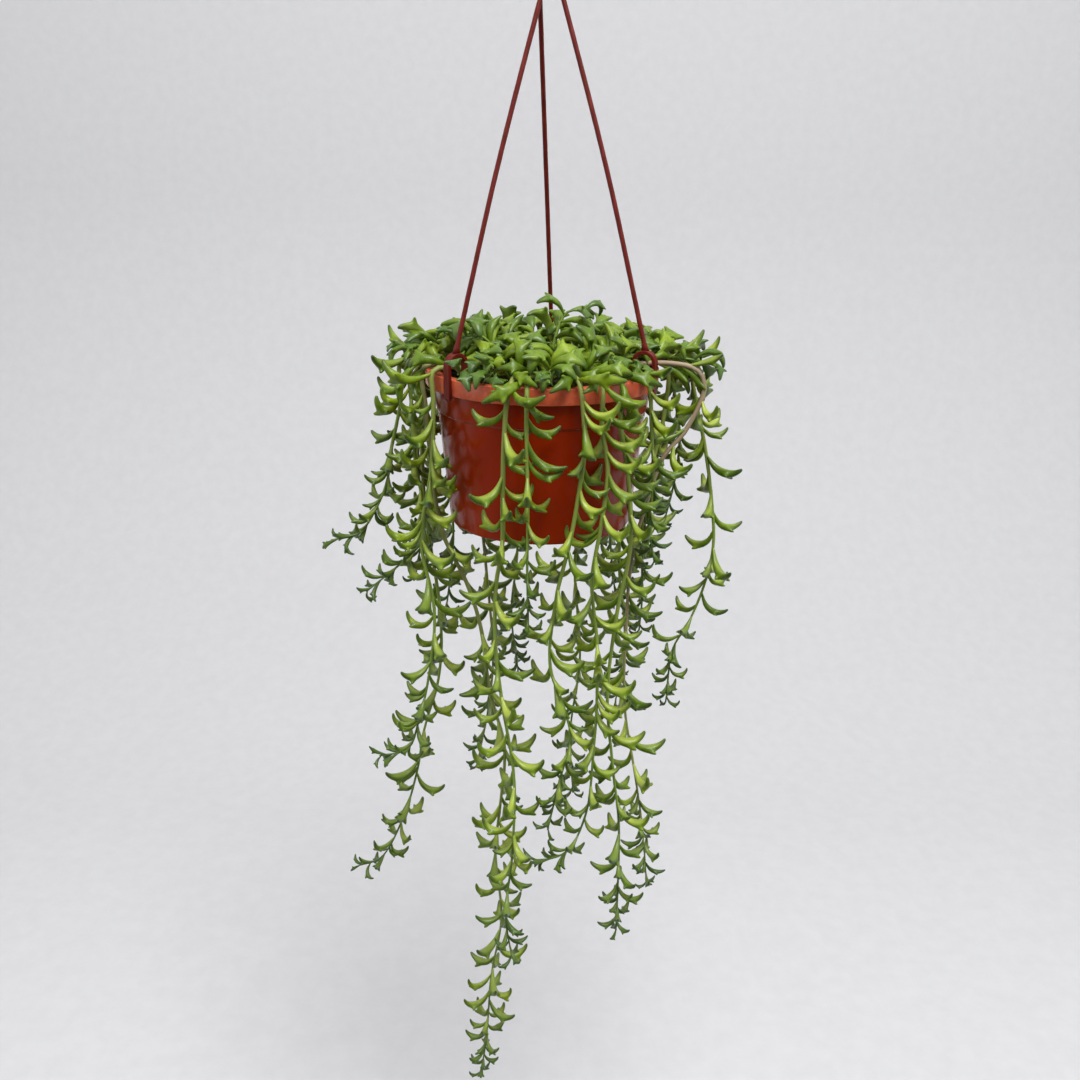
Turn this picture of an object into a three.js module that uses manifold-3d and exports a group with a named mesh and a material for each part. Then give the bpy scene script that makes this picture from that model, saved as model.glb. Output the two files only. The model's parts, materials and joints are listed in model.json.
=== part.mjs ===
// A hanging pot of string of dolphins, a trailing succulent.
//
// A moulded plastic pot hangs by three plastic rods from a hook. Each rod ends in a clip that
// straddles the pot's rim. The pot is filled with soil, leafy shoots cover the soil, and long
// strands root in it, cross the rim and hang down. Millimetres, +Z up. The origin is the
// saddle of the hook, the point that bears on whatever the pot hangs from.

import * as THREE from 'three';
import { mergeVertices } from 'three/addons/utils/BufferGeometryUtils.js';
import Module from 'manifold-3d';

const wasm = await Module();
wasm.setup();

// ---------------------------------------------------------------- driving dimensions

// Pot
const rimRadius = 70; // outside of the rim's skirt
const potHeight = 95;
const skirtHeight = 9.5; // the rim's turned-down skirt
const skirtWall = 1.5;
const shoulderDrop = 24; // from the rim down to the step in the wall
const shoulderInset = 3.6; // wall at the top, in from the skirt
const stepInset = 1.1; // how far the wall goes in at the step
const baseRadius = 56;
const wall = 1.5;
const footHeight = 3; // how far the base is raised inside its foot ring
const footWidth = 5;
const drainHoles = 6;
const drainHoleRadius = 4;
const drainCircleRadius = 36;
const potSides = 44;

// Soil
const soilDrop = 9; // from the rim down to the soil
const gap = 0.3; // between pieces that rest on each other

// Hanger
const hookWireRadius = 2.3;
const hookInnerRadius = 11; // room for what the hook hangs on
const hookShank = 27; // from the middle of the hook's bend down to the hub
const hubRadius = 9;
const hubHeight = 8;
const hangerRise = 213; // from the rim's top up to the hub's underside
const rodRadius = 1.4;
const rodCircleRadius = 6; // where the rods meet the hub
const rodTwist = 50; // degrees that the hub is turned from the clips
const rodBow = 2.2; // how far a rod bends outward at its middle
const strapThickness = 2.2;
const strapWidth = 5;
const strapSpan = 12.5; // between the middles of a clip's two legs
const clipRise = 13.5; // from the rim's top to the middle of the strap's arch
const innerLegDepth = 6; // how far the inner leg reaches below the rim's top
const barbReach = 1.5; // how far the toe reaches in under the skirt
const barbHeight = 2.2;
const clipAngles = { left: -48, right: 65, rear: 175 };

// Stems and leaves
const stemRadius = 1.3; // at the foot
const stemTipRadius = 0.55;
const stemStep = 16; // between the rings of a stem
const strandFoot = 0.66; // where a strand roots, as a share of the rim's radius
const strandRise = 0.68; // where it stands level with the rim
const overRimInside = 3.7; // a strand's height over the rim, inside and then outside it
const overRimOutside = 1.7;
const crownLayoutRadius = 70; // the rim radius that the crown's shoots are laid out for
const crestRise = 8; // least height of a shoot's arch over the rim
// How the leaves grow: the length of a grown leaf along its curve, the length of stem at the
// growing tip whose leaves are still small, how small the last of them is as a share of a
// grown one, the spacing of young and grown leaves, and the bare stretch at the foot. A beak
// points out from its stem, less of that upward by rise, along it by follow, and up by lift,
// which sways from leaf to leaf.
const trailingHabit = {
  leafLength: 32,
  youngStretch: 120,
  youngShare: 0.34,
  youngSpacing: 3.4,
  spacing: 12.5,
  bare: 6,
  rise: 1,
  follow: 0,
  lift: 0.85,
  sway: 0.45,
};
const crownHabit = {
  leafLength: 34,
  youngStretch: 30,
  youngShare: 0.5,
  youngSpacing: 4,
  spacing: 5.5,
  bare: 4,
  rise: 0.5,
  follow: 0.12,
  lift: -0.3,
  sway: 0.7,
};
const leafHalfWidth = 0.1; // at the fins, as a share of the leaf's length
const leafClearance = 0.5; // kept between the leaves of different stems

const hubBottom = -(hookInnerRadius + hookShank + hubHeight);
const rimTop = hubBottom - hangerRise;

// ---------------------------------------------------------------- where the plants grow

// Strands that trail over the rim. Azimuth is in degrees from the front, to the right. Out is
// how far beyond the rim the strand starts to hang. Each point of a route is how far across, to
// the right, and how far down the strand has come from there; lean is how far it comes forward
// in 100 mm of drop.
const strands = [
  { name: 'strand_left_upturned', azimuth: -87, out: 15, lean: 0, route: [
    [0, 20], [-8, 57], [-10, 72], [-18, 91], [-29, 107], [-47, 112]] },
  { name: 'strand_left_short', azimuth: -75, out: 9, lean: 0, route: [
    [0, 29], [1, 56], [5, 85], [4, 105], [-10, 121], [-32, 140]] },
  { name: 'strand_left_front', azimuth: -57, out: 5, lean: 0, route: [
    [1, 14], [-1, 54], [-8, 99], [-1, 143], [-5, 186], [-13, 222], [-20, 240], [-38, 245]] },
  { name: 'strand_left_long', azimuth: -99, out: 5, lean: 0, route: [
    [0, 20], [0, 90], [9, 171], [7, 214], [-4, 256], [-10, 290], [-22, 330], [-38, 360],
    [-53, 366]] },
  { name: 'strand_left_rear', azimuth: -113, out: 8, lean: 0, route: [
    [-4, 30], [-8, 70], [-5, 110], [-12, 150]] },
  { name: 'strand_longest', azimuth: -66, out: 6, lean: 0, route: [
    [2, 20], [4, 45], [10, 95], [25, 130], [33, 158], [39, 205], [48, 243], [45, 290],
    [42, 321], [46, 377], [39, 426], [35, 484], [31, 512]] },
  { name: 'strand_front_long', azimuth: -13, out: 6, lean: 0, route: [
    [-2, 8], [-4, 61], [-4, 85], [-8, 116], [-8, 154], [-4, 190], [3, 240], [2, 296],
    [-2, 341], [2, 373]] },
  { name: 'strand_front_short', azimuth: -6, out: 7, lean: 0, route: [
    [0, 21], [1, 61], [1, 103], [2, 141]] },
  { name: 'strand_front_right', azimuth: 16, out: 6, lean: 0, route: [
    [3, 27], [2, 45], [-4, 87], [-11, 120], [-14, 165], [-6, 190], [-1, 212], [-7, 241],
    [-14, 277]] },
  { name: 'strand_front_curled', azimuth: 26, out: 6, lean: 0, route: [
    [0, 20], [4, 45], [1, 80], [-3, 112], [1, 151], [2, 190], [1, 223], [-3, 270], [-15, 297],
    [-36, 305]] },
  { name: 'strand_right_straight', azimuth: 36, out: 5, lean: 0, route: [
    [0, 22], [5, 48], [8, 95], [2, 135], [-2, 190], [3, 240], [8, 280], [9, 320], [9, 362]] },
  { name: 'strand_right_tuft', azimuth: 51, out: 6, lean: 0, route: [
    [4, 30], [6, 60], [5, 85], [9, 108]] },
  { name: 'strand_right_crossing', azimuth: 75, out: 24, lean: 0, route: [
    [4, 8], [-5, 32], [-18, 50], [-27, 80], [-34, 112], [-36, 160], [-35, 215], [-27, 262],
    [-20, 305], [-15, 351]] },
  { name: 'strand_right_middle', azimuth: 84, out: 5, lean: 0, route: [
    [-1, 30], [-6, 58], [-10, 112], [-9, 149], [-10, 170]] },
  { name: 'strand_right_outer', azimuth: 93, out: 20, lean: 0, route: [
    [2, 12], [12, 52], [18, 85], [21, 115], [17, 142], [8, 170], [-1, 188], [-4, 228]] },
  { name: 'strand_right_leafy', azimuth: 104, out: 11, lean: 0, route: [
    [4, 20], [9, 50], [7, 78], [2, 104]] },
  { name: 'strand_rear_right', azimuth: 124, out: 7, lean: 0, route: [
    [0, 20], [-6, 80], [-10, 140], [-4, 200], [-9, 250]] },
  { name: 'strand_rear_right_short', azimuth: 141, out: 6, lean: 0, route: [
    [0, 20], [3, 70], [0, 120], [6, 178]] },
  { name: 'strand_rear_middle', azimuth: 158, out: 6, lean: 7, route: [
    [0, 20], [2, 80], [-4, 150], [1, 220], [-5, 280], [-2, 326]] },
  { name: 'strand_rear_left', azimuth: -165, out: 6, lean: 4, route: [
    [0, 20], [-2, 80], [4, 140], [0, 190], [5, 236]] },
  { name: 'strand_rear_left_long', azimuth: -148, out: 6, lean: 6, route: [
    [0, 20], [-3, 80], [3, 150], [8, 220], [4, 262], [-4, 304]] },
  { name: 'strand_rear_left_short', azimuth: -131, out: 7, lean: 0, route: [
    [0, 20], [-4, 70], [-1, 130], [-8, 192]] },
];

// Shoots of the crown. Each rises from the soil at its foot, arches over and ends at its tip;
// the points are azimuth in degrees, distance from the pot's axis, and for the tip its height
// above the rim.
const crownShoots = [
  { foot: [-20, 6], tip: [-35, 30, 12] },
  { foot: [20, 8], tip: [66, 28, 34] },
  { foot: [170, 10], tip: [165, 36, 12] },
  { foot: [-75, 22], tip: [-64, 54, 20] },
  { foot: [100, 12], tip: [110, 36, 12] },
  { foot: [-110, 12], tip: [-118, 38, 12] },
  { foot: [12, 24], tip: [8, 56, 5] },
  { foot: [48, 25], tip: [44, 60, 7] },
  { foot: [82, 24], tip: [76, 62, 9] },
  { foot: [112, 25], tip: [108, 64, 10] },
  { foot: [146, 25], tip: [143, 62, 10] },
  { foot: [180, 24], tip: [-170, 60, 10] },
  { foot: [-148, 25], tip: [-151, 62, 10] },
  { foot: [-116, 25], tip: [-119, 62, 10] },
  { foot: [-40, 24], tip: [-36, 58, 6] },
  { foot: [5, 37], tip: [4, 70, 3] },
  { foot: [-24, 37], tip: [-26, 72, 3] },
  { foot: [-38, 37], tip: [-39, 74, 5] },
  { foot: [57, 38], tip: [57, 72, 5] },
  { foot: [79.5, 38], tip: [80, 100, 6] },
  { foot: [98.5, 38], tip: [98, 92, 5] },
  { foot: [114, 38], tip: [116, 82, 5] },
  { foot: [132.5, 38], tip: [133, 80, 5] },
  { foot: [149.5, 38], tip: [149, 80, 4] },
  { foot: [-156.5, 38], tip: [-156, 78, 5] },
  { foot: [-139.5, 38], tip: [-140, 80, 5] },
  { foot: [-122, 38], tip: [-122, 80, 5] },
  { foot: [-106, 38], tip: [-105, 84, 5] },
  { foot: [-93, 38], tip: [-93, 84, 6] },
];

// ---------------------------------------------------------------- small geometry tools

const radians = (degrees) => (degrees * Math.PI) / 180;

// A point at an azimuth from the front, a distance from the axis and a height.
function around(azimuth, radius, height) {
  const angle = radians(azimuth);
  return new THREE.Vector3(radius * Math.sin(angle), -radius * Math.cos(angle), height);
}

function toSolid(geometry) {
  const bare = geometry.clone();
  bare.deleteAttribute('normal');
  bare.deleteAttribute('uv');
  const merged = mergeVertices(bare, 1e-4);
  return new wasm.Manifold(new wasm.Mesh({
    numProp: 3,
    vertProperties: new Float32Array(merged.attributes.position.array),
    triVerts: new Uint32Array(merged.index.array),
  }));
}

function toGeometry(solid) {
  const mesh = solid.getMesh();
  const geometry = new THREE.BufferGeometry();
  geometry.setAttribute('position', new THREE.BufferAttribute(mesh.vertProperties, 3));
  geometry.setIndex(new THREE.BufferAttribute(mesh.triVerts, 1));
  geometry.computeVertexNormals();
  return geometry;
}

// A closed skin over rings of points. Each ring has as many points as the next, running the
// same way round; a ring of one point closes the skin in a tip, any other end is closed flat.
function skin(rings) {
  const positions = [];
  const faces = [];
  const starts = [];
  for (const ring of rings) {
    starts.push(positions.length / 3);
    for (const point of ring) positions.push(point.x, point.y, point.z);
  }
  for (let level = 0; level + 1 < rings.length; level += 1) {
    const here = rings[level].length;
    const next = rings[level + 1].length;
    const sides = Math.max(here, next);
    for (let side = 0; side < sides; side += 1) {
      const a = starts[level] + (side % here);
      const b = starts[level] + ((side + 1) % here);
      const c = starts[level + 1] + ((side + 1) % next);
      const d = starts[level + 1] + (side % next);
      if (here > 1) faces.push(a, b, c);
      if (next > 1) faces.push(a, c, d);
    }
  }
  const last = rings.length - 1;
  for (let side = 1; side + 1 < rings[0].length; side += 1) {
    faces.push(starts[0], starts[0] + side + 1, starts[0] + side);
  }
  for (let side = 1; side + 1 < rings[last].length; side += 1) {
    faces.push(starts[last], starts[last] + side, starts[last] + side + 1);
  }
  const geometry = new THREE.BufferGeometry();
  geometry.setAttribute('position', new THREE.Float32BufferAttribute(positions, 3));
  geometry.setIndex(faces);
  return geometry;
}

// A round bar along a curve.
function bar(curve, radius, steps, sides) {
  const section = new THREE.Shape();
  for (let side = 0; side < sides; side += 1) {
    const angle = (side / sides) * 2 * Math.PI;
    const x = radius * Math.cos(angle);
    const y = radius * Math.sin(angle);
    if (side === 0) section.moveTo(x, y);
    else section.lineTo(x, y);
  }
  section.closePath();
  return new THREE.ExtrudeGeometry(section, { steps, extrudePath: curve, bevelEnabled: false });
}

function turned(profile, sides) {
  const points = profile.map(([radius, height]) => new THREE.Vector2(radius, height));
  const geometry = new THREE.LatheGeometry(points, sides);
  geometry.rotateX(Math.PI / 2);
  return geometry;
}

// ---------------------------------------------------------------- materials

const finish = (color, roughness) => new THREE.MeshStandardMaterial({
  color, roughness, metalness: 0,
});
const potPlastic = finish(0x9e3a22, 0.34);
const hangerPlastic = finish(0x8a2f26, 0.42);
const pottingSoil = finish(0x33271d, 0.95);
const trailingGreen = finish(0x6f9a45, 0.45);
const crownGreen = finish(0x86ab4f, 0.45);

const object = new THREE.Group();

function addPiece(name, geometry, material) {
  const mesh = new THREE.Mesh(geometry, material);
  mesh.name = name;
  object.add(mesh);
  return mesh;
}

// ---------------------------------------------------------------- pot

const shoulderTopRadius = rimRadius - shoulderInset;
const taper = (shoulderTopRadius - stepInset - baseRadius) / potHeight;
const stepRadius = shoulderTopRadius - taper * shoulderDrop;
const innerBaseRadius = baseRadius - wall;

// The pot's inner wall at a depth below the rim.
function innerRadiusAt(depth) {
  const top = shoulderTopRadius - wall - stepInset;
  return top - ((top - innerBaseRadius) * depth) / potHeight;
}

// The pot's largest radius at and below a depth, for what hangs beside it.
function outerRadiusAt(depth) {
  if (depth < skirtHeight) return rimRadius;
  if (depth < shoulderDrop) return shoulderTopRadius;
  return Math.max(stepRadius - taper * (depth - shoulderDrop), baseRadius);
}

function potBody() {
  const floorDepth = potHeight - footHeight - wall;
  const profile = [
    [0, -(potHeight - footHeight)],
    [baseRadius - footWidth, -(potHeight - footHeight)],
    [baseRadius - footWidth + 1, -potHeight],
    [baseRadius - 1, -potHeight],
    [baseRadius, -potHeight + 1.2],
    [stepRadius - stepInset, -shoulderDrop - stepInset],
    [stepRadius, -shoulderDrop],
    [shoulderTopRadius, -wall * 1.6],
    [rimRadius - skirtWall, -wall],
    [rimRadius - skirtWall, -skirtHeight],
    [rimRadius, -skirtHeight],
    [rimRadius, -0.9],
    [rimRadius - 0.9, 0],
    [innerRadiusAt(0) + 1, 0],
    [innerRadiusAt(0), -0.9],
    [innerRadiusAt(floorDepth), -floorDepth],
    [0, -floorDepth],
  ];
  let solid = toSolid(turned(profile, potSides));
  for (let hole = 0; hole < drainHoles; hole += 1) {
    const drill = new THREE.CylinderGeometry(drainHoleRadius, drainHoleRadius, 4 * wall, 12);
    drill.rotateX(Math.PI / 2);
    const centre = around((hole * 360) / drainHoles, drainCircleRadius, -floorDepth - wall / 2);
    drill.translate(centre.x, centre.y, centre.z);
    solid = solid.subtract(toSolid(drill));
  }
  return toGeometry(solid);
}

addPiece('pot', potBody(), potPlastic).position.z = rimTop;

// ---------------------------------------------------------------- soil

function soilBody() {
  const floorDepth = potHeight - footHeight - wall - gap;
  return turned([
    [0, -floorDepth],
    [innerRadiusAt(floorDepth) - gap, -floorDepth],
    [innerRadiusAt(soilDrop) - gap, -soilDrop],
    [0, -soilDrop],
  ], potSides);
}

addPiece('soil', soilBody(), pottingSoil).position.z = rimTop;

// ---------------------------------------------------------------- hook and hub

// A round bar bent into a hook, standing on a turned hub. The saddle is at the origin.
class HookCurve extends THREE.Curve {
  getPoint(along) {
    const bend = hookInnerRadius + hookWireRadius;
    const middle = -hookInnerRadius;
    const swing = 1.32 * Math.PI;
    const bent = bend * swing;
    const shank = hookShank - 0.2 * bend;
    const done = along * (bent + shank);
    if (done < shank) {
      // The shank leaves the hub upright and swings out to the side of the bend.
      const share = done / shank;
      const out = bend * share * share * (3 - 2 * share);
      const height = middle - hookShank + (hookShank - 0.2 * bend) * share;
      return new THREE.Vector3(out, 0, height);
    }
    const angle = -0.2 + (done - shank) / bend;
    return new THREE.Vector3(bend * Math.cos(angle), 0, middle + bend * Math.sin(angle));
  }
}

function hookBody() {
  const hubTop = hubBottom + hubHeight;
  const hub = turned([
    [0, hubBottom],
    [hubRadius - 1, hubBottom],
    [hubRadius, hubBottom + 1],
    [hubRadius, hubTop - 3],
    [hookWireRadius + 1, hubTop + 1.5],
    [0, hubTop + 1.5],
  ], 24);
  const wire = bar(new HookCurve(), hookWireRadius, 28, 8);
  return toGeometry(toSolid(hub).add(toSolid(wire)));
}

addPiece('hanger_hook', hookBody(), hangerPlastic);

// ---------------------------------------------------------------- clips over the rim

const outerLegRadius = rimRadius + gap + strapThickness / 2;
const clipRadius = outerLegRadius - strapSpan / 2;
const archRadius = strapSpan / 2;
const archHeight = clipRise - archRadius;
const clipTop = clipRise + strapThickness / 2;

// The strap's side view, drawn with x outward from the middle of the arch and y up from the
// rim's top, and given its width by extrusion.
function clipBody() {
  const half = strapThickness / 2;
  const toe = -(skirtHeight + gap + barbHeight);
  const side = new THREE.Shape();
  side.moveTo(archRadius + half, toe + 1);
  side.lineTo(archRadius + half, archHeight);
  side.absarc(0, archHeight, archRadius + half, 0, Math.PI, false);
  side.lineTo(-archRadius - half, -innerLegDepth);
  side.lineTo(-archRadius + half, -innerLegDepth);
  side.lineTo(-archRadius + half, archHeight);
  side.absarc(0, archHeight, archRadius - half, Math.PI, 0, true);
  side.lineTo(archRadius - half, -(skirtHeight + gap));
  side.lineTo(archRadius - half - barbReach, -(skirtHeight + gap));
  side.lineTo(archRadius + half - 1, toe);
  side.closePath();
  const strap = new THREE.ExtrudeGeometry(side, {
    depth: strapWidth, curveSegments: 8, bevelEnabled: false,
  });
  strap.translate(0, 0, -strapWidth / 2);
  strap.rotateX(Math.PI / 2);
  return strap;
}

const clipGeometry = clipBody();
for (const [side, azimuth] of Object.entries(clipAngles)) {
  const clip = addPiece(`rim_clip_${side}`, clipGeometry, hangerPlastic);
  clip.position.copy(around(azimuth, clipRadius, rimTop));
  clip.rotation.z = radians(azimuth - 90);
}

// ---------------------------------------------------------------- rods

// A rod runs from a clip's arch to the hub's underside and bows slightly outward. It leans, so
// it starts high enough for the lower corner of its square end to clear the arch.
function rodCurve(azimuth) {
  const low = around(azimuth, clipRadius, rimTop + clipTop + gap);
  const high = around(azimuth + rodTwist, rodCircleRadius, hubBottom - 2.5 * gap);
  const lean = Math.hypot(high.x - low.x, high.y - low.y) / high.distanceTo(low);
  low.z += rodRadius * lean;
  const middle = low.clone().lerp(high, 0.5);
  const outward = new THREE.Vector3(middle.x, middle.y, 0).normalize();
  middle.addScaledVector(outward, rodBow);
  return new THREE.CatmullRomCurve3([low, middle, high]);
}

for (const [side, azimuth] of Object.entries(clipAngles)) {
  const rod = bar(rodCurve(azimuth), rodRadius, 6, 8);
  addPiece(`hanger_rod_${side}`, rod, hangerPlastic);
}

// ---------------------------------------------------------------- room for the leaves

// Every stem, leaf, rod and clip is also noted as a row of balls, so that a new leaf can be
// turned to a side where it stays clear of the other stems' leaves.
const taken = [];

function takeRoom(owner, centre, radius) {
  taken.push({ owner, x: centre.x, y: centre.y, z: centre.z, radius });
}

function clearOfPot(ball) {
  const height = ball.z - rimTop;
  const reach = ball.radius + leafClearance;
  const fromAxis = Math.hypot(ball.x, ball.y);
  if (height - reach > 0) return true;
  if (fromAxis + reach < innerRadiusAt(soilDrop) && height - reach > -soilDrop) return true;
  if (height + reach < -potHeight) return true;
  return fromAxis - reach > outerRadiusAt(-(height + reach));
}

function hasRoom(owner, balls) {
  for (const ball of balls) {
    if (!clearOfPot(ball)) return false;
    for (const other of taken) {
      if (other.owner === owner) continue;
      const room = ball.radius + other.radius + leafClearance;
      const dx = ball.x - other.x;
      const dy = ball.y - other.y;
      const dz = ball.z - other.z;
      if (dx * dx + dy * dy + dz * dz < room * room) return false;
    }
  }
  return true;
}

for (const azimuth of Object.values(clipAngles)) {
  const curve = rodCurve(azimuth);
  for (let step = 0; step <= 60; step += 1) {
    takeRoom('hanger', curve.getPointAt(step / 60), rodRadius + 1);
  }
  for (let step = 0; step <= 12; step += 1) {
    const height = rimTop + clipTop - (step / 12) * (clipTop + skirtHeight + barbHeight);
    takeRoom('hanger', around(azimuth, outerLegRadius, height), strapWidth * 0.7);
    takeRoom('hanger', around(azimuth, clipRadius - archRadius, height), strapWidth * 0.7);
  }
}

// ---------------------------------------------------------------- stems and leaves

// An even spread of numbers from 0 to 1, the same on every build.
function scatter(seed) {
  const value = Math.sin(seed * 12.9898) * 43758.5453;
  return value - Math.floor(value);
}

const up = new THREE.Vector3(0, 0, 1);

function squareTo(tangent, direction) {
  return direction.clone().addScaledVector(tangent, -direction.dot(tangent)).normalize();
}

// The rings of a stem, from its foot, which stands flat on the soil, to its tip. Each has its
// centre, its tangent and a side that turns as little as possible from one ring to the next.
function stemRings(curve) {
  const steps = Math.max(3, Math.round(curve.getLength() / stemStep));
  const rings = [];
  let side = new THREE.Vector3(0, 1, 0);
  for (let step = 0; step <= steps; step += 1) {
    const centre = curve.getPointAt(step / steps);
    const tangent = step === 0 ? up.clone() : curve.getTangentAt(step / steps);
    side = squareTo(tangent, side);
    rings.push({ centre, tangent, side });
  }
  return rings;
}

// The middle of a stem, its tangent and its side at a share of its length. A stem is straight
// between its rings.
function alongStem(rings, share) {
  const place = share * (rings.length - 1);
  const index = Math.min(Math.floor(place), rings.length - 2);
  const from = rings[index];
  const to = rings[index + 1];
  const centre = from.centre.clone().lerp(to.centre, place - index);
  const tangent = from.tangent.clone().lerp(to.tangent, place - index).normalize();
  return { centre, tangent, side: squareTo(tangent, from.side) };
}

function stemBody(rings) {
  const sections = rings.map(({ centre, tangent, side }, index) => {
    const other = new THREE.Vector3().crossVectors(tangent, side);
    const share = index / (rings.length - 1);
    const radius = stemRadius + (stemTipRadius - stemRadius) * share;
    return [0, 1, 2, 3].map((corner) => centre.clone()
      .addScaledVector(side, radius * Math.cos((corner * Math.PI) / 2))
      .addScaledVector(other, radius * Math.sin((corner * Math.PI) / 2)));
  });
  return toSolid(skin(sections));
}

// A leaf leaves its stem at a low angle, widens to a pair of fins, and bends there, outward and
// up, into a pointed beak.
function leafShape(root, tangent, outward, length, habit, lift) {
  const leave = tangent.clone().multiplyScalar(0.9).addScaledVector(outward, 0.44).normalize();
  const end = outward.clone().multiplyScalar(0.66);
  end.z *= habit.rise;
  end.addScaledVector(tangent, habit.follow).addScaledVector(up, lift).normalize();
  const bend = root.clone().addScaledVector(leave, 0.62 * length);
  const tip = bend.clone().addScaledVector(end, 0.46 * length);
  return { root, bend, tip, leave, end, length };
}

const finShare = 0.58; // where the fins sit, as a share of the leaf's length

// The point of the leaf's middle line at a share of its length.
function alongLeaf(leaf, share) {
  const rest = 1 - share;
  return leaf.root.clone().multiplyScalar(rest * rest)
    .addScaledVector(leaf.bend, 2 * rest * share)
    .addScaledVector(leaf.tip, share * share);
}

// The room a leaf takes, as balls along its middle line.
function leafBalls(leaf) {
  const full = leafHalfWidth * leaf.length;
  const balls = [];
  for (const share of [0.3, 0.45, 0.6, 0.75, 0.9, 1]) {
    const centre = alongLeaf(leaf, share);
    const radius = share < 0.5 ? 0.75 * full : (share < 0.8 ? 1.15 * full : 0.55 * full);
    balls.push({ x: centre.x, y: centre.y, z: centre.z, radius });
  }
  return balls;
}

function leafBody(leaf) {
  const across = new THREE.Vector3().crossVectors(leaf.leave, leaf.end).normalize();
  const section = (centre, heading, halfWidth) => {
    const under = new THREE.Vector3().crossVectors(across, heading).normalize().negate();
    return [
      centre.clone().addScaledVector(across, halfWidth).addScaledVector(under, -0.4 * halfWidth),
      centre.clone().addScaledVector(under, 0.9 * halfWidth),
      centre.clone().addScaledVector(across, -halfWidth).addScaledVector(under, -0.4 * halfWidth),
    ];
  };
  const finCentre = alongLeaf(leaf, finShare);
  const finHeading = leaf.leave.clone().add(leaf.end).normalize();
  return toSolid(skin([
    [leaf.root],
    section(finCentre, finHeading, leafHalfWidth * leaf.length),
    [leaf.tip],
  ]));
}

const goldenAngle = 137.5; // degrees from one leaf to the next
const turnAside = 67; // degrees that a leaf turns when its place is taken

// Where the leaves sit along a stem, from its tip: close together while young, then wider.
function leafPlaces(length, habit) {
  const places = [];
  let fromTip = 1.5;
  while (fromTip < length - habit.bare) {
    places.push(fromTip);
    const grown = Math.min(fromTip / habit.youngStretch, 1);
    fromTip += habit.youngSpacing + (habit.spacing - habit.youngSpacing) * grown;
  }
  return places;
}

function growStem(name, curve, habit, seed, material) {
  const length = curve.getLength();
  const rings = stemRings(curve);
  let solid = stemBody(rings);
  leafPlaces(length, habit).forEach((fromTip, count) => {
    const { centre, tangent, side } = alongStem(rings, 1 - fromTip / length);
    const other = new THREE.Vector3().crossVectors(tangent, side);
    const grown = Math.min(fromTip / habit.youngStretch, 1);
    const size = habit.youngShare + (1 - habit.youngShare) * Math.sqrt(grown);
    const vary = 0.88 + 0.24 * scatter(seed * 100 + count);
    const lift = habit.lift + habit.sway * (2 * scatter(seed * 71 + count * 3) - 1);
    const start = seed * 47 + count * goldenAngle;
    for (let attempt = 0; attempt < 18; attempt += 1) {
      const angle = radians(start + attempt * turnAside);
      const shrink = 1 - 0.18 * Math.floor(attempt / 6);
      const outward = side.clone().multiplyScalar(Math.cos(angle))
        .addScaledVector(other, Math.sin(angle));
      const leafSize = habit.leafLength * size * vary * shrink;
      const leaf = leafShape(centre, tangent, outward, leafSize, habit, lift);
      const balls = leafBalls(leaf);
      if (hasRoom(name, balls)) {
        for (const ball of balls) takeRoom(name, ball, ball.radius);
        solid = solid.add(leafBody(leaf));
        break;
      }
    }
  });
  addPiece(name, toGeometry(solid), material);
}

function strandCurve(strand) {
  const edge = rimRadius + strand.out;
  const soilTop = rimTop - soilDrop + gap;
  const anchor = around(strand.azimuth, edge, rimTop);
  const points = [
    around(strand.azimuth, strandFoot * rimRadius, soilTop),
    around(strand.azimuth, strandRise * rimRadius, rimTop - 1),
    around(strand.azimuth, rimRadius - 6, rimTop + stemRadius + overRimInside),
    around(strand.azimuth, edge - 1, rimTop + stemRadius + overRimOutside),
  ];
  for (const [across, drop] of strand.route) {
    points.push(new THREE.Vector3(
      anchor.x + across,
      anchor.y - (strand.lean * drop) / 100,
      rimTop - drop,
    ));
  }
  return new THREE.CatmullRomCurve3(points);
}

function crownCurve(shoot) {
  const [footAzimuth, footRadius] = shoot.foot;
  const [tipAzimuth, tipRadius, tipHeight] = shoot.tip;
  const soilTop = rimTop - soilDrop + gap;
  const reach = rimRadius / crownLayoutRadius;
  const foot = around(footAzimuth, footRadius * reach, soilTop);
  const tip = around(tipAzimuth, tipRadius * reach, rimTop + tipHeight);
  const rise = foot.clone().lerp(tip, 0.1);
  rise.z = soilTop + 0.35 * (tip.z - soilTop);
  const crest = foot.clone().lerp(tip, 0.5);
  crest.z = Math.max(tip.z - 1, rimTop + crestRise);
  return new THREE.CatmullRomCurve3([foot, rise, crest, tip]);
}

const growth = [
  ...strands.map((strand) => ({
    name: strand.name,
    curve: strandCurve(strand),
    habit: trailingHabit,
    material: trailingGreen,
  })),
  ...crownShoots.map((shoot, index) => ({
    name: `crown_shoot_${String(index + 1).padStart(2, '0')}`,
    curve: crownCurve(shoot),
    habit: crownHabit,
    material: crownGreen,
  })),
];

// The stems take their room first, then each stem's leaves find theirs.
for (const stem of growth) {
  const length = stem.curve.getLength();
  const balls = Math.round(length / 4);
  const rings = stemRings(stem.curve);
  for (let step = 0; step <= balls; step += 1) {
    takeRoom(stem.name, alongStem(rings, step / balls).centre, stemRadius);
  }
}
growth.forEach((stem, index) => {
  growStem(stem.name, stem.curve, stem.habit, index + 1, stem.material);
});

export default object;
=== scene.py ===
# A hanging pot of string of dolphins: a moulded plastic pot on a plastic hanger, filled with
# soil, with leafy shoots on top and long strands that trail over the rim.
import json
import math

import bpy
import numpy as np
from mathutils import Matrix, Vector, noise

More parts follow.
